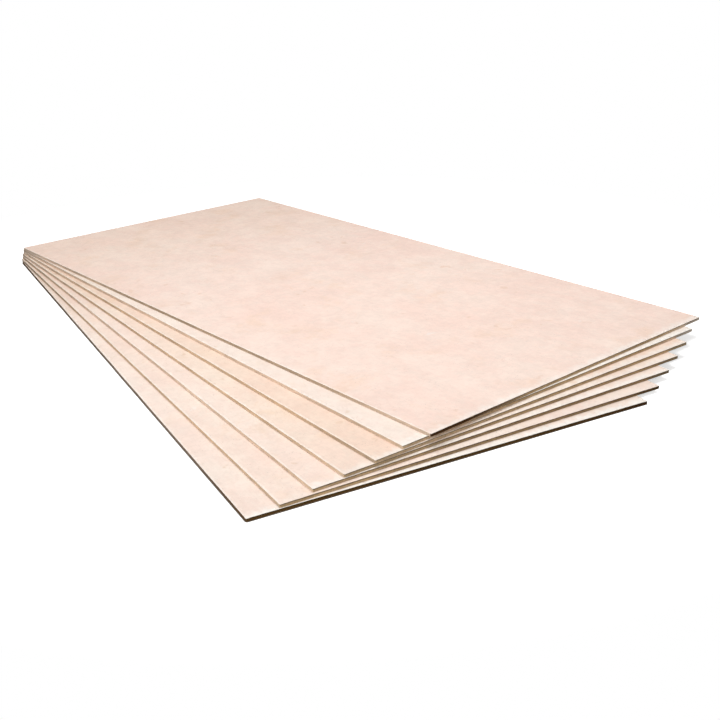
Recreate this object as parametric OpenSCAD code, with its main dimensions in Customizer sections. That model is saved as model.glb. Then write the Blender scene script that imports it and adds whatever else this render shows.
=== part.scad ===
// Stack of fibre cement boards, fanned out about one corner.
// +Z is up. The origin is at the middle of the stack's bounding box, on the floor.
// +X runs along the long edges of the bottom board.

/* [Board] */
// Length of one board
board_length = 2440; // [1200:10:3600]
// Width of one board
board_width = 1220; // [600:10:1350]
// Thickness of one board
board_thickness = 10; // [4:0.5:30]
// Width of the 45 degree arris along every edge
arris = 0.6; // [0.2:0.1:1.5]

/* [Stack] */
// How many boards lie in the stack
board_count = 7; // [1:1:12]
// Angle that each board is turned from the one below it
fan_step = 2.04; // [0:0.02:4]

/* [Hidden] */
// Where the pivot corner of each board came to lie, measured from that of the bottom
// board. The boards were laid down by hand, so the corners are a few millimetres apart.
corner_stray = [[0, 0], [0, 0], [-5, 4], [-5, 6], [-1, 10], [-1, 11], [13, 11]];

// Face colours of the boards, from the bottom board up
board_tones = ["#f7e2d3", "#f5dfd0", "#f8e6d4", "#f5dbc9", "#f0d5c2", "#f9eadb", "#f6dfd2"];

// Levels count up from the bottom board, which is level 0.
top_level = board_count - 1;
function stray(level) = corner_stray[level % len(corner_stray)];
function tone(level) = board_tones[level % len(board_tones)];
function turn(level) = level * fan_step;

// Outline of a rectangle whose four corners are cut off at 45 degrees by the arris
function eased_rectangle(length, width) = [
    [arris, 0], [length - arris, 0],
    [length, arris], [length, width - arris],
    [length - arris, width], [arris, width],
    [0, width - arris], [0, arris]
];

// A point of a board's outline, carried to where the board at this level lies
function laid(point, level) = stray(level) + [
    point.x * cos(turn(level)) - point.y * sin(turn(level)),
    point.x * sin(turn(level)) + point.y * cos(turn(level))
];

// The plan outline of every board, which gives the middle of the whole stack
all_points = [
    for (level = [0:top_level])
        for (point = eased_rectangle(board_length, board_width)) laid(point, level)
];
all_x = [for (point = all_points) point.x];
all_y = [for (point = all_points) point.y];
stack_middle = [min(all_x) + max(all_x), min(all_y) + max(all_y)] / 2;

// One flat sheet lying on its face, with its pivot corner at the origin: the space that
// its outlines seen from above, from the long side and from the short side all share
module sheet() {
    intersection() {
        linear_extrude(board_thickness)
            polygon(eased_rectangle(board_length, board_width));
        translate([0, board_width, 0]) rotate([90, 0, 0])
            linear_extrude(board_width)
                polygon(eased_rectangle(board_length, board_thickness));
        rotate([90, 0, 90])
            linear_extrude(board_length)
                polygon(eased_rectangle(board_width, board_thickness));
    }
}

// The board at one level, face to face with the one below and turned a step further
module board(level) {
    place = stray(level) - stack_middle;
    color(tone(level))
        translate([place.x, place.y, level * board_thickness])
            rotate([0, 0, turn(level)])
                sheet();
}

for (level = [0:top_level])
    board(level);
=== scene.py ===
"""Looks of a fanned stack of fibre cement boards: chipped and laminated edges, a mottled
pinkish cream face, and a soft studio round it. Metres, +Z up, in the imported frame."""
import math

import bpy
import numpy as np
from mathutils import Matrix, Vector


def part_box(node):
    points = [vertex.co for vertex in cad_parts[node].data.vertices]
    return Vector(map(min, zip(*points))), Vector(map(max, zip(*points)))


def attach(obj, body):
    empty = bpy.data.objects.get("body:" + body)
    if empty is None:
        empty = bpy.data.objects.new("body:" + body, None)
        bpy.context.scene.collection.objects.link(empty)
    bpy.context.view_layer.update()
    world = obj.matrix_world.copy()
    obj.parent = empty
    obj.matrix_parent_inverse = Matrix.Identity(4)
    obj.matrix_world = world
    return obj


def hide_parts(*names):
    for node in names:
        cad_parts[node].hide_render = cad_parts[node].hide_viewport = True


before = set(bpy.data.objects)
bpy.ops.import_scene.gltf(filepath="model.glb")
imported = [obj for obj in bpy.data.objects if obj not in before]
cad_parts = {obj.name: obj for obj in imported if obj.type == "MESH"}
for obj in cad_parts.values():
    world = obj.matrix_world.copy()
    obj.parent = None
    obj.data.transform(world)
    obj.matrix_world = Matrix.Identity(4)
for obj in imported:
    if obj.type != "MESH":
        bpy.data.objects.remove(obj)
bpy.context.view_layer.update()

MM = 0.001
BODY = "root"

# ---------------------------------------------------------------- the boards' sizes and lie

# The bottom board lies square to the frame, so its box is the size of one board.
NODES = sorted(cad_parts, key=lambda name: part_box(name)[0].z)
LENGTH, WIDTH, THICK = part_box(NODES[0])[1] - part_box(NODES[0])[0]
ARRIS = 0.6 * MM


def lie(node_name):
    """The place of a board's middle, on its underside, and its turn about +Z, from its box.
    The arris cuts the corners off, so a turned board reaches a little less far."""
    low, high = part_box(node_name)
    across, along = high.x - low.x, high.y - low.y
    turned_x = (LENGTH - 2 * ARRIS) * across - (WIDTH - 2 * ARRIS) * along
    turned_y = LENGTH * along - WIDTH * across
    middle = Vector(((low.x + high.x) / 2, (low.y + high.y) / 2, low.z))
    return middle, math.atan2(turned_y, turned_x)


# ---------------------------------------------------------------- camera

LOOK_AT = Vector((0.697, -0.208, 0.035))
VIEW_AZIMUTH = math.radians(61.95)
VIEW_ELEVATION = math.radians(22.29)
VIEW_ROLL = math.radians(-1.66)
VIEW_DISTANCE = 3.140
LENS_MM = 51.07


def add_camera():
    """The camera, looking down on the near corner of the fan."""
    camera = bpy.data.objects.new("camera", bpy.data.cameras.new("camera"))
    bpy.context.scene.collection.objects.link(camera)
    camera.data.lens = LENS_MM
    back = Vector((
        math.sin(VIEW_AZIMUTH) * math.cos(VIEW_ELEVATION),
        -math.cos(VIEW_AZIMUTH) * math.cos(VIEW_ELEVATION),
        math.sin(VIEW_ELEVATION),
    ))
    level = back.to_track_quat("Z", "Y").to_matrix().to_4x4()
    roll = Matrix.Rotation(VIEW_ROLL, 4, "Z")
    camera.matrix_world = Matrix.Translation(LOOK_AT + back * VIEW_DISTANCE) @ level @ roll
    bpy.context.scene.camera = camera


# ---------------------------------------------------------------- node helpers

def node(tree, kind, inputs=None, **settings):
    """A new node. Each input gets a value, or a link where an output socket is given."""
    made = tree.nodes.new(kind)
    for name, value in settings.items():
        setattr(made, name, value)
    for name, value in (inputs or {}).items():
        if isinstance(value, bpy.types.NodeSocket):
            tree.links.new(value, made.inputs[name])
        else:
            made.inputs[name].default_value = value
    return made


def maths(tree, operation, *values):
    """One step of arithmetic."""
    return node(tree, "ShaderNodeMath", dict(enumerate(values)), operation=operation).outputs[0]


def noise(tree, place, scale, detail=3.0, roughness=0.55, distortion=0.0):
    """Smooth random values round 0.5, about scale of them to the metre."""
    inputs = {"Vector": place, "Scale": scale, "Detail": detail, "Roughness": roughness,
              "Distortion": distortion}
    return node(tree, "ShaderNodeTexNoise", inputs).outputs["Fac"]


def spread(tree, value, low, high, to_low=0.0, to_high=1.0):
    """value from low to high, eased in and out, becomes to_low to to_high."""
    inputs = {"Value": value, "From Min": low, "From Max": high, "To Min": to_low,
              "To Max": to_high}
    return node(tree, "ShaderNodeMapRange", inputs,
                interpolation_type="SMOOTHSTEP").outputs["Result"]


def mix(tree, share, first, second, blend="MIX"):
    """Two colours mixed, with a share of the second. The sockets for colours go by number,
    because the node has others with the same names."""
    inputs = {0: share, 6: first, 7: second}
    return node(tree, "ShaderNodeMix", inputs, data_type="RGBA", blend_type=blend).outputs[2]


def stretched(tree, place, x, y, z):
    """Coordinates scaled along each axis, so that a pattern runs long where the scale is low."""
    inputs = {0: place, 1: (x, y, z)}
    return node(tree, "ShaderNodeVectorMath", inputs, operation="MULTIPLY").outputs[0]


def grey(tree, value):
    """A value as a grey colour."""
    return node(tree, "ShaderNodeCombineColor", {0: value, 1: value, 2: value}).outputs[0]


def shade(colour, factor):
    """A colour times a factor, or times one factor for each channel, with alpha 1."""
    return (*(np.array(colour[:3]) * factor), 1.0)


# ---------------------------------------------------------------- stage

WHITE = (1.0, 1.0, 1.0)
FILL = 0.25             # what the dome gives, as a share of full light
# Each softbox: its place, its size, and the light it gives a surface that faces it at the middle
SOFTBOXES = {
    "key": (Vector((0.58, -0.10, 4.0)), 2.2, 0.745),
    "front": (Vector((3.2, -3.6, 1.3)), 1.6, 0.27),
}
FLOOR_DROP = 0.3 * MM       # the floor lies this far under the stack, so their faces don't mix
FLOOR_HALF = 40.0
FLOOR_BOUNCE = 0.30         # how much light the floor throws back on the boards
FLOOR_GLOW = 0.62           # the camera sees the floor a little lit from within, so that the
FLOOR_WHITE = 1.05          # stack's shadow stays light and the lit floor round it shows white
SHADE_ENDS = (1.7, 2.1)     # from the middle, where the floor fades into the white round it
CONTACT_REACH = 7 * MM      # how far off a board can darken the floor at its foot
CONTACT_OPEN = (0.5, 0.85)  # how open the floor is where that shadow is full, and where it ends
CONTACT_SHADE = (0.110, 0.072, 0.038, 1.0)  # what little light is there comes off the boards


def seen_directly(tree):
    """1 for what the camera, a reflection or glass shows, and 0 for light on the boards."""
    path = node(tree, "ShaderNodeLightPath").outputs
    mirrored = maths(tree, "MAXIMUM", path["Is Glossy Ray"], path["Is Transmission Ray"])
    return maths(tree, "MAXIMUM", path["Is Camera Ray"], mirrored)


def add_dome():
    """A world that shows white and lights the boards from all round."""
    world = bpy.data.worlds.new("dome")
    world.use_nodes = True
    tree = world.node_tree
    strength = spread(tree, seen_directly(tree), 0, 1, FILL, 1.0)
    background = tree.nodes["Background"]
    background.inputs["Color"].default_value = shade(WHITE, 1)
    tree.links.new(strength, background.inputs["Strength"])
    bpy.context.scene.world = world


def add_softbox(name, place, size, level):
    """A square softbox that faces the middle of the stack."""
    lamp = bpy.data.lights.new(name, "AREA")
    lamp.shape = "SQUARE"
    lamp.size = size
    lamp.energy = level * (math.pi * place.length) ** 2
    softbox = bpy.data.objects.new(name, lamp)
    softbox.location = place
    softbox.rotation_euler = place.to_track_quat("Z", "Y").to_euler()
    bpy.context.scene.collection.objects.link(softbox)


def add_floor():
    """A plain floor that keeps the stack's shadow and otherwise shows white."""
    mesh = bpy.data.meshes.new("floor")
    corners = [(x * FLOOR_HALF, y * FLOOR_HALF, -FLOOR_DROP)
               for x, y in ((-1, -1), (1, -1), (1, 1), (-1, 1))]
    mesh.from_pydata(corners, [], [(0, 1, 2, 3)])
    floor = bpy.data.objects.new("floor", mesh)
    bpy.context.scene.collection.objects.link(floor)

    paint = bpy.data.materials.new("floor")
    paint.use_nodes = True
    tree = paint.node_tree
    tree.nodes.clear()
    place = node(tree, "ShaderNodeTexCoord").outputs["Object"]
    away = node(tree, "ShaderNodeVectorMath", {0: place}, operation="LENGTH").outputs["Value"]
    glow = node(tree, "ShaderNodeEmission", {"Strength": FLOOR_GLOW})
    lit = node(tree, "ShaderNodeBsdfDiffuse", {"Color": shade(WHITE, FLOOR_WHITE)})
    clear = node(tree, "ShaderNodeAddShader", {0: glow.outputs[0], 1: lit.outputs[0]})
    dark = node(tree, "ShaderNodeBsdfDiffuse", {"Color": CONTACT_SHADE})
    openness = node(tree, "ShaderNodeAmbientOcclusion", {"Distance": CONTACT_REACH}).outputs["AO"]
    near = node(tree, "ShaderNodeMixShader",
                {0: spread(tree, openness, *CONTACT_OPEN), 1: dark.outputs[0],
                 2: clear.outputs[0]})
    white = node(tree, "ShaderNodeEmission", {"Strength": 1.0})
    bounce = node(tree, "ShaderNodeBsdfDiffuse", {"Color": shade(WHITE, FLOOR_BOUNCE)})
    shown = node(tree, "ShaderNodeMixShader",
                 {0: spread(tree, away, *SHADE_ENDS), 1: near.outputs[0], 2: white.outputs[0]})
    both = node(tree, "ShaderNodeMixShader",
                {0: seen_directly(tree), 1: bounce.outputs[0], 2: shown.outputs[0]})
    node(tree, "ShaderNodeOutputMaterial", {"Surface": both.outputs[0]})
    mesh.materials.append(paint)


# ---------------------------------------------------------------- shape of one board

STATION_STEP = 9 * MM            # between the profiles of a plain stretch of edge
CORNER_STEPS = 5                 # steps round a corner
CORNER_RADII = (1.4 * MM, 3.6 * MM)
RING_INSETS = (26 * MM, 7 * MM)  # flat rings inside the edge, clear of every chip
GRID_INSET, GRID_STEP = 60 * MM, 60 * MM
# Three things stray at random along the edge. Each has the distance between its knots.
SAW_WANDER, SAW_PITCH = 0.15 * MM, 90 * MM    # how far the cut edge strays inward from straight
ARRIS_STRAY, ARRIS_PITCH = 0.2 * MM, 35 * MM  # how far the worn arris strays from its size
PLY_RELIEF, PLY_PITCH = 0.06 * MM, 22 * MM    # how far the layers of the cut edge stand back
LEAST_ARRIS = ARRIS / 3
SIDE_ROWS = 7                    # rows of faces down the cut edge
ARRIS_TURNS = (0.0, 1 / 3, 2 / 3, 1.0)  # rings over an arris, as shares of its quarter turn
WEAR_REACH, WEAR_DEPTH = 9 * MM, (0.2 * MM, 0.9 * MM)  # how the arris is worn at a corner
CHIP_PROFILES = 9                # profiles across one chip
CHIP_LOTS = (                    # how many, half length and depth, of the chips on one arris
    (50, (1.0 * MM, 3.0 * MM), (0.3 * MM, 0.8 * MM)),
    (10, (4.0 * MM, 9.0 * MM), (0.9 * MM, 2.0 * MM)),
)
CHIP_LIP = (0.65, 1.0)           # how ragged a chip is, as shares of its depth
CHIP_CLEAR = 0.003               # by a corner, chips get no profiles over this share of the side
SHARP_ANGLE = math.radians(40)

FACE, LONG_EDGE, END, BACK = range(4)  # material slots of a board
SIDE_SLOTS = (LONG_EDGE, END, LONG_EDGE, END)
CORNERS = np.array(((-1, -1), (1, -1), (1, 1), (-1, 1)))
SIDES = (LENGTH, WIDTH, LENGTH, WIDTH)
ROUND = sum(SIDES)


def distance_round(way, place):
    """How far each place on the way round is from one place, the shorter way."""
    return np.abs((way - place + ROUND / 2) % ROUND - ROUND / 2)


def wander(rng, way, pitch, size):
    """A smooth random value for each place on the way round, with a knot at every pitch."""
    knots = np.arange(0, ROUND, pitch)
    return np.interp(way, knots, rng.normal(0, size, len(knots)), period=ROUND)


def scatter_chips(rng):
    """(place on the way round, half length, depth) of each chip along one arris."""
    return [(rng.uniform(0, ROUND), rng.uniform(*half), rng.uniform(*depth))
            for count, half, depth in CHIP_LOTS for _ in range(count)]


def chip_depth(rng, way, chips):
    """How deep the chips bite at each place on the way round, with a ragged lip."""
    bite = np.zeros(len(way))
    for place, half, depth in chips:
        off = distance_round(way, place) / half
        bite = np.maximum(bite, depth * np.sqrt(np.clip(1 - off ** 2, 0, 1)))
    return bite * rng.uniform(*CHIP_LIP, len(way))


def corner_wear(rng, way):
    """How much further the arris is worn near each corner."""
    return sum(rng.uniform(*WEAR_DEPTH) * np.exp(-(distance_round(way, corner) / WEAR_REACH) ** 2)
               for corner in np.cumsum(SIDES))


def stations(rng, chips):
    """The profiles round the edge, as columns: the way round, the side and share of it, the
    point on a square from -1 to 1, the outward normal, and the corner radius."""
    radii = rng.uniform(*CORNER_RADII, len(SIDES))
    rows = []
    start = 0.0
    for side, length in enumerate(SIDES):
        after = (side + 1) % len(SIDES)
        marks = set(np.linspace(0, 1, round(length / STATION_STEP) + 1))
        for place, half, _ in chips:
            across = (place - start + half * np.linspace(-1, 1, CHIP_PROFILES)) / length
            marks.update(across[(across > CHIP_CLEAR) & (across < 1 - CHIP_CLEAR)])
        turn = math.pi / 2 * (side - 1)
        for mark in sorted(marks):
            point = CORNERS[side] + (CORNERS[after] - CORNERS[side]) * mark
            rows.append((start + length * mark, side + mark, *point, math.cos(turn),
                         math.sin(turn), radii[side] + (radii[after] - radii[side]) * mark))
        start += length
        for step in range(1, CORNER_STEPS):
            angle = turn + math.pi / 2 * step / CORNER_STEPS
            rows.append((start, side + 1, *CORNERS[after], math.cos(angle), math.sin(angle),
                         radii[after]))
    return np.array(rows).T


def zipped(outer, outer_share, inner, inner_share):
    """Triangles that join two loops of vertices, each with its share of the way round."""
    outer, inner = [*outer, outer[0]], [*inner, inner[0]]
    outer_share = [*outer_share, len(SIDES) + outer_share[0]]
    inner_share = [*inner_share, len(SIDES) + inner_share[0]]
    faces = []
    i = j = 0
    while i < len(outer) - 1 or j < len(inner) - 1:
        inner_done, outer_done = j == len(inner) - 1, i == len(outer) - 1
        if inner_done or not outer_done and outer_share[i + 1] <= inner_share[j + 1]:
            faces.append((outer[i], outer[i + 1], inner[j]))
            i += 1
        else:
            faces.append((outer[i], inner[j + 1], inner[j]))
            j += 1
    return faces


class BoardShape:
    """Vertices and faces of one board round its own middle, with its underside at z = 0."""

    def __init__(self, rng):
        self.rng = rng
        chips = scatter_chips(rng), scatter_chips(rng)
        columns = stations(rng, [*chips[0], *chips[1]])
        self.way, self.share, self.radius = columns[0], columns[1], columns[6]
        self.core, self.normal = columns[2:4].T, columns[4:6].T
        self.count = len(self.way)
        self.cut = np.maximum(SAW_WANDER + wander(rng, self.way, SAW_PITCH, SAW_WANDER), 0)
        upper = self.arris_rings(chips[0], THICK, -1)
        lower = self.arris_rings(chips[1], 0, 1)
        side = self.side_rings(upper[-1], lower[-1])
        rings = [*upper, *side, *reversed(lower)]
        self.points, self.faces, self.slots = np.vstack(rings), [], []
        for band in range(len(rings) - 1):
            on_side = len(upper) <= band + 1 < len(upper) + SIDE_ROWS
            flat = FACE if band < len(upper) else BACK
            self.join(band, SIDE_SLOTS if on_side else (flat,) * len(SIDES))
        self.fill(0, THICK, FACE)
        self.fill((len(rings) - 1) * self.count, 0, BACK)

    def ring(self, inset, bite, height, chip):
        """One ring, inset as a whole, bitten in further at each place, with its chip mark."""
        half = np.array((LENGTH, WIDTH)) / 2 - inset - self.radius[:, None]
        flat = self.core * half + self.normal * (self.radius - bite)[:, None]
        return np.column_stack((flat, np.full(self.count, height), np.full(self.count, chip)))

    def arris_rings(self, chips, level, inward):
        """Rings from well inside a face, over its arris, to the lip of the cut edge."""
        bite = chip_depth(self.rng, self.way, chips)
        chip = np.clip(bite / ARRIS, 0, 1)
        worn = ARRIS + wander(self.rng, self.way, ARRIS_PITCH, ARRIS_STRAY)
        worn = np.maximum(worn, LEAST_ARRIS) + corner_wear(self.rng, self.way)
        depth = np.maximum(worn, bite)
        rings = [self.ring(inset, 0, level, 0) for inset in RING_INSETS]
        for turn in ARRIS_TURNS:
            angle = math.pi / 2 * turn
            back = depth * ((1 - math.sin(angle)) * (1 - chip) + (1 - turn) * chip)
            drop = depth * ((1 - math.cos(angle)) * (1 - chip) + turn * chip)
            rings.append(self.ring(0, self.cut + back, level + inward * drop, chip * (turn > 0)))
        return rings

    def side_rings(self, top, low):
        """Rings down the cut edge, each layer a little further back or out than the next."""
        rings = []
        for row in range(1, SIDE_ROWS):
            height = top[:, 2] + (low[:, 2] - top[:, 2]) * row / SIDE_ROWS
            relief = np.abs(wander(self.rng, self.way, PLY_PITCH, PLY_RELIEF))
            rings.append(self.ring(0, self.cut + relief, height, 0))
        return rings

    def join(self, band, side_slots):
        """The faces between one ring and the next."""
        first = band * self.count
        for i in range(self.count):
            after = (i + 1) % self.count
            self.faces.append((first + i, first + self.count + i,
                               first + self.count + after, first + after))
            self.slots.append(side_slots[int(self.share[i]) % len(SIDES)])

    def fill(self, first, level, slot):
        """The flat middle of a face: a grid, joined to the ring that starts at first."""
        half_x, half_y = LENGTH / 2 - GRID_INSET, WIDTH / 2 - GRID_INSET
        columns, rows = round(2 * half_x / GRID_STEP), round(2 * half_y / GRID_STEP)
        base = len(self.points)
        at = [[base + i * (rows + 1) + j for j in range(rows + 1)] for i in range(columns + 1)]
        self.points = np.vstack((self.points, [
            (-half_x + 2 * half_x * i / columns, -half_y + 2 * half_y * j / rows, level, 0)
            for i in range(columns + 1) for j in range(rows + 1)]))
        loop = [*(at[i][0] for i in range(columns)), *(at[-1][j] for j in range(rows)),
                *(at[i][-1] for i in range(columns, 0, -1)),
                *(at[0][j] for j in range(rows, 0, -1))]
        share = [side + k / count for side, count in enumerate((columns, rows, columns, rows))
                 for k in range(count)]
        faces = zipped(range(first, first + self.count), self.share, loop, share)
        faces += [(at[i][j], at[i + 1][j], at[i + 1][j + 1], at[i][j + 1])
                  for i in range(columns) for j in range(rows)]
        self.faces += faces if slot == FACE else [face[::-1] for face in faces]
        self.slots += [slot] * len(faces)


def board_piece(node_name, materials, seed):
    """The dressed board that stands for one CAD node."""
    shape = BoardShape(np.random.default_rng(seed))
    mesh = bpy.data.meshes.new(f"{node_name}_dressed")
    mesh.from_pydata(shape.points[:, :3].tolist(), [], shape.faces)
    mesh.polygons.foreach_set("material_index", shape.slots)
    chip = mesh.attributes.new("chip", "FLOAT", "POINT")
    chip.data.foreach_set("value", shape.points[:, 3].astype(np.float32))
    mesh.shade_smooth()
    mesh.set_sharp_from_angle(angle=SHARP_ANGLE)
    for material in materials:
        mesh.materials.append(material)
    piece = bpy.data.objects.new(f"{node_name}_dressed", mesh)
    bpy.context.scene.collection.objects.link(piece)
    piece.location, piece.rotation_euler.z = lie(node_name)
    return piece


# ---------------------------------------------------------------- materials

MOST, ALL = (0.3, 0.7), (0.0, 1.0)  # the span that most of a noise lies in, and a whole share

# Tints of a face, as factors of its tone
IVORY = (1.008, 1.043, 1.046)
PINK = (0.992, 0.957, 0.952)
OCHRE = (0.965, 0.925, 0.870)
BROWN = (0.890, 0.830, 0.760)
WHITISH = (1.020, 1.120, 1.180)

# A noise is given by how many there are to the metre, its detail, its roughness and its
# distortion, as far as these differ from the usual. A stretch comes before that, along X, Y and Z.
# The patterns that tint a face, each with the span of its noise over which it comes in, and
# how strong it is where it is full
BROAD_CLOUDS = (2.2, 2.0, 0.5), (0.34, 0.66), 0.4
SMALL_CLOUDS = (6.0, 5.0, 0.85, 0.2), (0.39, 0.61), 0.6
CLOUD_STRETCH = (0.8, 1.0, 1.0)
BLOTS = (5.5, 5.0, 0.7, 0.3), (0.52, 0.74), 1.0
MARKS = (26.0, 2.0, 0.5, 0.4), (0.64, 0.74), 1.0
MARKED_PARTS = (3.0, 2.0), (0.46, 0.60), 0.7
SPECKS = (15.0, 3.0, 0.6, 0.3), (0.30, 0.22), 0.8

# Hair lines and pin holes, which show only where another noise is high
HAIR_CURL = (1.0, 0.4, 0.8)      # detail, roughness and distortion of the noise they follow
HAIR_PARTS, PORE_PARTS = (0.52, 0.60), (0.48, 0.62)
HAIR_BREAKS, PORE_CROWDS = 1.7, 1 / 8  # how fine that other noise is, beside their own scale
PORE_DARK = 0.6                  # the share of a pin hole's width that is wholly dark

# What else a face has
# The pale rim of a face is partly dust and partly painted light
DUST_AND_LIGHT = (1.000, 0.940, 0.870)     # what whitens the edges of a face that stick out of the fan
PALE_RIM_AT_SIDE, PALE_RIM_AT_END = 8 * MM, 32 * MM
PALE_RIM_SIDE = 0.5
PALE_RIM_LIMIT, PALE_RIM_RAGGED = (45.0, 4.0), (-0.3, 0.3)
WASH, FLECKS = (9.0, 5.0, 0.85), (60.0, 4.0, 0.8)
SANDING_STRETCH, SANDING = (2.0, 240.0, 1.0), (1.0, 3.0)
FACE_GRAIN, FACE_FIBRES, FACE_PORES = (800.0, 2.0), (90.0, 0.02), (110.0, 0.16)
FACE_WAVES = (25.0, 3.0)
CORE, CORE_GRAIN = (0.74, 0.60, 0.47), (600.0,)  # fresh board inside a chip
CORE_SHOWS = (0.2, 0.9)          # the span of the chip marks over which it comes in

# What a cut edge has
SKIN = (0.6 * MM, 2.2 * MM)      # how deep the pale outer skin of a board is whole, and reaches
SKIN_SHADE = 0.9                 # its tone, as a share of that of the face
ARRIS_GRIME_AND_SHADE = (1.5 * MM, 4.5 * MM)     # the same for the darkening under the upper arris, partly grime and partly painted shade
SKIN_EDGE, SKIN_RAGGED = (130.0, 3.0), (-0.5 * MM, 0.5 * MM)
PLIES_STRETCH, PLIES = (7.0, 7.0, 900.0), (1.0, 3.0, 0.6, 0.4)
SAWING_STRETCH, SAWING = (420.0, 420.0, 30.0), (1.0, 2.0)
STREAKS_STRETCH, STREAKS = (26.0, 26.0, 90.0), (1.0, 4.0, 0.65)
CUT_WASH, FUZZ, CUT_PORES = (4.0, 3.0), (1100.0, 3.0), (420.0, 0.22)
# How strongly each kind of cut edge shows its skins, the grime and painted shade under its upper
# arris, and the marks of the saw
LONG_EDGE_CUT = {"skin": 0.8, "grime_and_shade": 0.0, "saw_marks": 0.04}
END_CUT = {"skin": 0.35, "grime_and_shade": 0.55, "saw_marks": 0.12}

# What the underside has
FELT, FELT_WOBBLE = 260.0, 0.6   # threads of the felt, and how unevenly they run
BACK_CLOUDS, BACK_CLOUD_SPAN = (5.0, 6.0, 0.6, 0.3), (0.36, 0.64)
BACK_WASH, BACK_GRAIN, BACK_PORES = (40.0, 4.0, 0.65), (700.0, 2.0), (130.0, 0.18)

# How rough and how glossy each surface is, and the noise that its roughness follows
DULL_PATCHES = (30.0, 4.0)
FACE_ROUGHNESS, CUT_ROUGHNESS, BACK_ROUGHNESS = (0.74, 0.88), (0.86, 0.97), (0.84, 0.94)
FACE_SPECULAR, CUT_SPECULAR = 0.25, 0.08

# Bottom board first: the tone of each face, and how pale its rim is by its outward end, partly
# dust and partly painted light
FACE_TONES = (
    (0.950, 0.790, 0.695),
    (0.945, 0.768, 0.665),
    (0.950, 0.780, 0.680),
    (0.943, 0.765, 0.645),
    (0.928, 0.732, 0.602),
    (0.954, 0.818, 0.724),
    (0.954, 0.752, 0.658),
)
PALE_RIM_ENDS = (1.0, 0.3, 0.75, 0.5, 0.65, 1.0, 0.6)
BACK_TONE = (0.80, 0.68, 0.57)

# The tones of the cut edges, the end's darker than the long edge's partly as painted shade, and
# factors for soiling and for painted shade and light on them and the faces
LONG_EDGE_TONE = (0.82, 0.65, 0.50)
END_TONE = (0.64, 0.465, 0.29)
CLEAN, LIGHTLY_DIMMED = (1.0, 1.0, 1.0), (0.80, 0.79, 0.74)
DULL, DIMMED = (0.62, 0.60, 0.55), (0.48, 0.46, 0.41)
DARK, DARKEST = (0.19, 0.14, 0.07), (0.13, 0.08, 0.04)
GREY, DARK_BROWN = (0.42, 0.39, 0.37), (0.18, 0.13, 0.08)
PALER, WARM_DIMMED = (1.35, 1.55, 2.00), (0.92, 0.87, 0.82)
YELLOWER, SEPIA = (1.005, 1.003, 0.980), (0.87, 0.82, 0.72)
# The factors at the start, along the middle and at the finish, bottom board first: of a face and
# its long edges from -X to +X, and of its +X end from -Y to +Y. They are partly soiling and partly
# painted shade and light: the lower boards' ends and the bottom board's long edges are painted
# dark as shade, the top board's end darkest toward -Y, the faces a little darker toward -X where
# the fan closes up, and the top boards' ends painted paler toward +Y.
FACE_SOIL_AND_SHADE = (*[(WARM_DIMMED, CLEAN, CLEAN)] * (len(FACE_TONES) - 1), (YELLOWER, CLEAN, CLEAN))
LONG_EDGE_SOIL_AND_SHADE = (
    (DARK_BROWN, GREY, DARK_BROWN),
    (DULL, SEPIA, LIGHTLY_DIMMED),
    (LIGHTLY_DIMMED, CLEAN, LIGHTLY_DIMMED),
    (CLEAN, SEPIA, LIGHTLY_DIMMED),
    (CLEAN, SEPIA, DULL),
    (CLEAN, CLEAN, LIGHTLY_DIMMED),
    (CLEAN, DULL, CLEAN),
)
END_SOIL_AND_SHADE = (
    (DARK, DARK, DARKEST),
    (SEPIA, DIMMED, DARK),
    (LIGHTLY_DIMMED, DIMMED, DIMMED),
    (LIGHTLY_DIMMED, DULL, DULL),
    (CLEAN, LIGHTLY_DIMMED, LIGHTLY_DIMMED),
    (CLEAN, LIGHTLY_DIMMED, PALER),
    (DARKEST, LIGHTLY_DIMMED, PALER),
)
SOIL_AND_SHADE_STOPS = (0.12, 0.36, 0.82, 0.99)  # where along a board those lie, the middle one twice
PATTERN_SHIFT = (3.7, 1.9, 0.0)  # how far a board's marks are moved from those of the one below


class Paint:
    """A material with one Principled shader, and the board's own coordinates, moved by a
    shift so that no two boards carry the same marks."""

    def __init__(self, name, shift, specular):
        self.material = bpy.data.materials.new(name)
        self.material.use_nodes = True
        self.tree = self.material.node_tree
        self.shader = self.tree.nodes["Principled BSDF"]
        self.shader.inputs["Specular IOR Level"].default_value = specular
        self.own = node(self.tree, "ShaderNodeTexCoord").outputs["Object"]
        self.place = node(self.tree, "ShaderNodeVectorMath", {0: self.own, 1: shift},
                          operation="ADD").outputs[0]

    def times(self, colour, *effects):
        """A colour made lighter or darker by some effects. Each has a value, the span of that
        value over which it works, and the factors at the two ends of the span."""
        product = 1.0
        for value, span, factors in effects:
            factor = spread(self.tree, value, *span, *factors)
            product = maths(self.tree, "MULTIPLY", product, factor)
        return mix(self.tree, 1.0, colour, grey(self.tree, product), "MULTIPLY")

    def finish(self, colour, roughness, height):
        """Links the colour, the roughness and the relief, whose height is in metres."""
        links, sockets = self.tree.links, self.shader.inputs
        bump = node(self.tree, "ShaderNodeBump", {"Height": height, "Distance": 1.0})
        links.new(colour, sockets["Base Color"])
        links.new(roughness, sockets["Roughness"])
        links.new(bump.outputs["Normal"], sockets["Normal"])
        return self.material


def pattern(tree, place, settings, span, strength):
    """The share of a pattern, from none at one end of a span of its noise to its full strength."""
    return spread(tree, noise(tree, place, *settings), *span, 0.0, strength)


def hairs(tree, place, scale, width):
    """Short curly hair lines: where one noise crosses its middle, broken up by another."""
    lines = noise(tree, place, scale, *HAIR_CURL)
    off = maths(tree, "ABSOLUTE", maths(tree, "SUBTRACT", lines, 0.5))
    shown = pattern(tree, place, (scale * HAIR_BREAKS, 1.0), HAIR_PARTS, 1.0)
    return maths(tree, "MULTIPLY", spread(tree, off, 0.0, width, 1, 0), shown)


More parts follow.
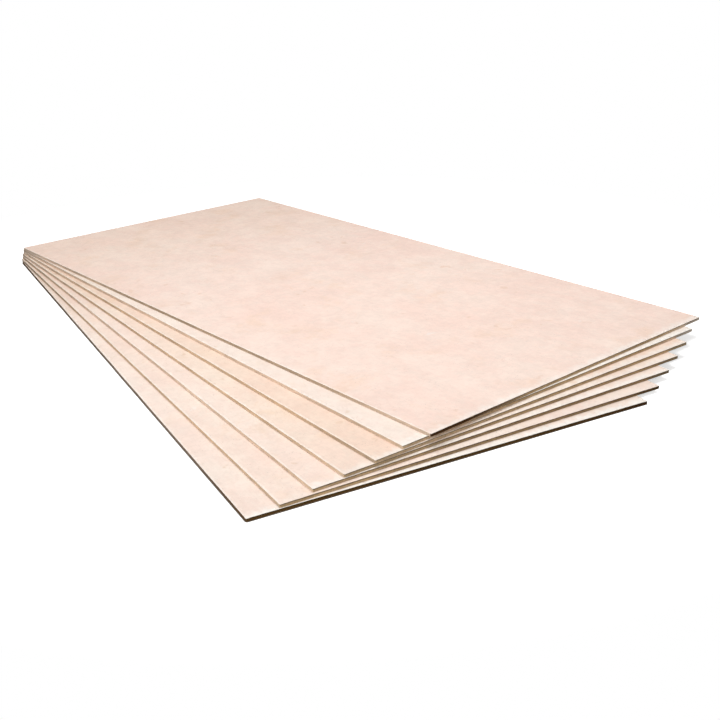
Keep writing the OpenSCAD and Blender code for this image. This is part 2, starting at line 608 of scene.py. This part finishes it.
def pores(tree, place, scale, size):
    """Scattered pin holes, about scale of them to the metre."""
    cells = node(tree, "ShaderNodeTexVoronoi", {"Vector": place, "Scale": scale})
    holes = spread(tree, cells.outputs["Distance"], size * PORE_DARK, size, 1, 0)
    shown = pattern(tree, place, (scale * PORE_CROWDS, 2.0), PORE_PARTS, 1.0)
    return maths(tree, "MULTIPLY", holes, shown)


def ramp(tree, value, stops):
    """A colour for each value, from (value, colour) pairs."""
    made = node(tree, "ShaderNodeValToRGB", {0: value})
    elements = made.color_ramp.elements
    for _ in range(len(stops) - len(elements)):
        elements.new(1.0)
    for element, (position, colour) in zip(elements, stops):
        element.position, element.color = position, shade(colour, 1)
    return made.outputs["Color"]


def summed(tree, *parts):
    """The sum of (value, size) pairs, each value times its size."""
    total = 0.0
    for value, size in parts:
        total = maths(tree, "MULTIPLY_ADD", value, size, total)
    return total


def dust_and_light_share(tree, own, ragged, pale_rim_end):
    """How much of a face is pale rim, partly dust and partly painted light, by its -Y side and its
    +X end, with a ragged limit.
    """
    part = node(tree, "ShaderNodeSeparateXYZ", {0: own}).outputs
    from_end = maths(tree, "SUBTRACT", LENGTH / 2, part["X"])
    from_side = maths(tree, "ADD", WIDTH / 2, part["Y"])
    shares = []
    for inside, reach, most in ((from_end, PALE_RIM_AT_END, pale_rim_end),
                                (from_side, PALE_RIM_AT_SIDE, PALE_RIM_SIDE)):
        limit = maths(tree, "MULTIPLY_ADD", ragged, reach, inside)
        shares.append(spread(tree, limit, 0, reach, most, 0))
    return maths(tree, "MAXIMUM", *shares)


def soiled_and_shaded(tree, own, axis, soil_and_shade):
    """The soiling, with painted shade and light, along the length, or along the width of the +X
    half, as a factor.
    """
    part = node(tree, "ShaderNodeSeparateXYZ", {0: own}).outputs
    if axis == "X":
        along = maths(tree, "DIVIDE", part["X"], LENGTH)
    else:
        in_front = maths(tree, "GREATER_THAN", part["X"], 0.0)
        along = maths(tree, "MULTIPLY", maths(tree, "DIVIDE", part["Y"], WIDTH), in_front)
    start, middle, finish = soil_and_shade
    stops = list(zip(SOIL_AND_SHADE_STOPS, (start, middle, middle, finish)))
    return ramp(tree, maths(tree, "ADD", along, 0.5), stops)


def tinted(tree, place, tone):
    """The tone of a face, clouded ivory and pink, with ochre blots, brown marks, pale specks."""
    drawn_out = stretched(tree, place, *CLOUD_STRETCH)
    clouds = maths(tree, "ADD", pattern(tree, place, *BROAD_CLOUDS),
                   pattern(tree, drawn_out, *SMALL_CLOUDS))
    marks = maths(tree, "MULTIPLY", pattern(tree, place, *MARKS),
                  pattern(tree, place, *MARKED_PARTS))
    colour = shade(tone, IVORY)
    for share, tint in ((clouds, PINK), (pattern(tree, place, *BLOTS), OCHRE), (marks, BROWN),
                        (pattern(tree, place, *SPECKS), WHITISH)):
        colour = mix(tree, share, colour, shade(tone, tint))
    return colour


def face_material(level, tone, pale_rim_end, soil_and_shade_of, shift):
    """The smooth face: its tints, soiling and painted shade, a pale rim of dust and painted light,
    then fibres, pores, sanding and chips.
    """
    paint = Paint(f"face_{level}", shift, FACE_SPECULAR)
    tree, place = paint.tree, paint.place
    # Soiling, with painted shade toward -X where the fan closes up
    soil_and_shade_colour = soiled_and_shaded(tree, paint.own, *soil_and_shade_of)
    colour = mix(tree, 1.0, tinted(tree, place, tone), soil_and_shade_colour, "MULTIPLY")
    ragged = spread(tree, noise(tree, place, *PALE_RIM_LIMIT), *MOST, *PALE_RIM_RAGGED)
    # The pale rim on the edges that stick out of the fan: partly dust, partly painted light
    colour = mix(tree, dust_and_light_share(tree, paint.own, ragged, pale_rim_end), colour, shade(DUST_AND_LIGHT, 1))
    fibres, holes = hairs(tree, place, *FACE_FIBRES), pores(tree, place, *FACE_PORES)
    sanding = noise(tree, stretched(tree, place, *SANDING_STRETCH), *SANDING)
    grain = noise(tree, place, *FACE_GRAIN)
    colour = paint.times(
        colour,
        (noise(tree, place, *WASH), (0.37, 0.63), (0.968, 1.028)),
        (noise(tree, place, *FLECKS), MOST, (0.965, 1.03)),
        (sanding, MOST, (0.988, 1.008)),
        (grain, MOST, (0.975, 1.02)),
        (fibres, ALL, (1.0, 0.95)),
        (holes, ALL, (1.0, 0.72)),
    )
    chip = node(tree, "ShaderNodeAttribute", attribute_name="chip").outputs["Fac"]
    fresh = paint.times(shade(CORE, 1), (noise(tree, place, *CORE_GRAIN), MOST, (0.8, 1.1)))
    colour = mix(tree, spread(tree, chip, *CORE_SHOWS), colour, fresh)
    roughness = spread(tree, noise(tree, place, *DULL_PATCHES), *MOST, *FACE_ROUGHNESS)
    height = summed(tree, (noise(tree, place, *FACE_WAVES), 0.35 * MM), (grain, 0.05 * MM),
                    (sanding, 0.03 * MM), (fibres, 0.03 * MM), (holes, -0.25 * MM))
    return paint.finish(colour, roughness, height)


def cut_material(name, tone, face, soil_and_shade_of, shift, skin, grime_and_shade, saw_marks):
    """A cut edge: pale skins round a core of thin layers, torn fibres, grime and painted shade
    under the upper arris, soiling with painted shade and light along it, saw marks.
    """
    paint = Paint(name, shift, CUT_SPECULAR)
    tree, place = paint.tree, paint.place
    ragged = spread(tree, noise(tree, place, *SKIN_EDGE), *MOST, *SKIN_RAGGED)
    height = node(tree, "ShaderNodeSeparateXYZ", {0: paint.own}).outputs["Z"]
    under_top = maths(tree, "SUBTRACT", THICK, height)
    from_face = maths(tree, "ADD", maths(tree, "MINIMUM", height, under_top), ragged)
    skin_share = spread(tree, from_face, *SKIN, skin, 0)
    colour = mix(tree, skin_share, shade(tone, 1), shade(face, SKIN_SHADE))
    # Soiling, with painted shade and painted light along the edge
    colour = mix(tree, 1.0, colour, soiled_and_shaded(tree, paint.own, *soil_and_shade_of), "MULTIPLY")
    layers = noise(tree, stretched(tree, place, *PLIES_STRETCH), *PLIES)
    marks = noise(tree, stretched(tree, place, *SAWING_STRETCH), *SAWING)
    streaks = noise(tree, stretched(tree, place, *STREAKS_STRETCH), *STREAKS)
    fuzz = noise(tree, place, *FUZZ)
    colour = paint.times(
        colour,
        # Darker just under the upper arris and a little paler below it: partly grime, partly
        # painted shade
        (maths(tree, "ADD", under_top, ragged), ARRIS_GRIME_AND_SHADE, (1 - grime_and_shade, 1 + grime_and_shade / 3)),
        (layers, (0.35, 0.65), (1.12, 0.84)),
        (noise(tree, place, *CUT_WASH), MOST, (0.90, 1.08)),
        (streaks, MOST, (0.86, 1.10)),
        (marks, MOST, (1 - saw_marks, 1 + saw_marks / 2)),
        (fuzz, MOST, (0.90, 1.06)),
        (pores(tree, place, *CUT_PORES), ALL, (1.0, 0.6)),
    )
    roughness = spread(tree, fuzz, *MOST, *CUT_ROUGHNESS)
    relief = summed(tree, (layers, 0.18 * MM), (marks, saw_marks * MM), (fuzz, 0.12 * MM))
    return paint.finish(colour, roughness, relief)


def back_material(level, shift):
    """The underside, which keeps the weave of the felt that the board was formed on."""
    paint = Paint(f"back_{level}", shift, CUT_SPECULAR)
    tree, place = paint.tree, paint.place
    threads = [node(tree, "ShaderNodeTexWave",
                    {"Vector": place, "Scale": FELT, "Distortion": FELT_WOBBLE, "Detail": 1.0},
                    bands_direction=along).outputs["Fac"] for along in "XY"]
    weave = maths(tree, "MULTIPLY", *threads)
    grain = noise(tree, place, *BACK_GRAIN)
    colour = mix(tree, pattern(tree, place, BACK_CLOUDS, BACK_CLOUD_SPAN, 1.0),
                 shade(BACK_TONE, IVORY), shade(BACK_TONE, OCHRE))
    colour = paint.times(
        colour,
        (noise(tree, place, *BACK_WASH), MOST, (0.96, 1.03)),
        (weave, ALL, (0.95, 1.02)),
        (grain, MOST, (0.96, 1.03)),
        (pores(tree, place, *BACK_PORES), ALL, (1.0, 0.75)),
    )
    roughness = spread(tree, noise(tree, place, *DULL_PATCHES), *MOST, *BACK_ROUGHNESS)
    return paint.finish(colour, roughness, summed(tree, (weave, 0.08 * MM), (grain, 0.06 * MM)))


def board_materials(level):
    """The materials of one board, in the order of its slots."""
    shift = [step * level for step in PATTERN_SHIFT]
    kind = level % len(FACE_TONES)
    face = FACE_TONES[kind]
    # Soiling with painted shade and light, from the tables above
    face_soil_and_shade, side_soil_and_shade, end_soil_and_shade = (
        ("X", FACE_SOIL_AND_SHADE[kind]), ("X", LONG_EDGE_SOIL_AND_SHADE[kind]), ("Y", END_SOIL_AND_SHADE[kind]))
    return (
        face_material(level, face, PALE_RIM_ENDS[kind], face_soil_and_shade, shift),
        cut_material(f"long_edge_{level}", LONG_EDGE_TONE, face, side_soil_and_shade, shift,
                     **LONG_EDGE_CUT),
        cut_material(f"end_{level}", END_TONE, face, end_soil_and_shade, shift, **END_CUT),
        back_material(level, shift),
    )


# ---------------------------------------------------------------- the scene

SEED = 40

add_camera()
add_dome()
for name, softbox in SOFTBOXES.items():
    add_softbox(name, *softbox)
add_floor()
for level, node_name in enumerate(NODES):
    board = board_piece(node_name, board_materials(level), SEED + level)
    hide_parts(node_name)
    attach(board, BODY)

bpy.context.scene.view_settings.view_transform = "Standard"

bpy.context.view_layer.update()
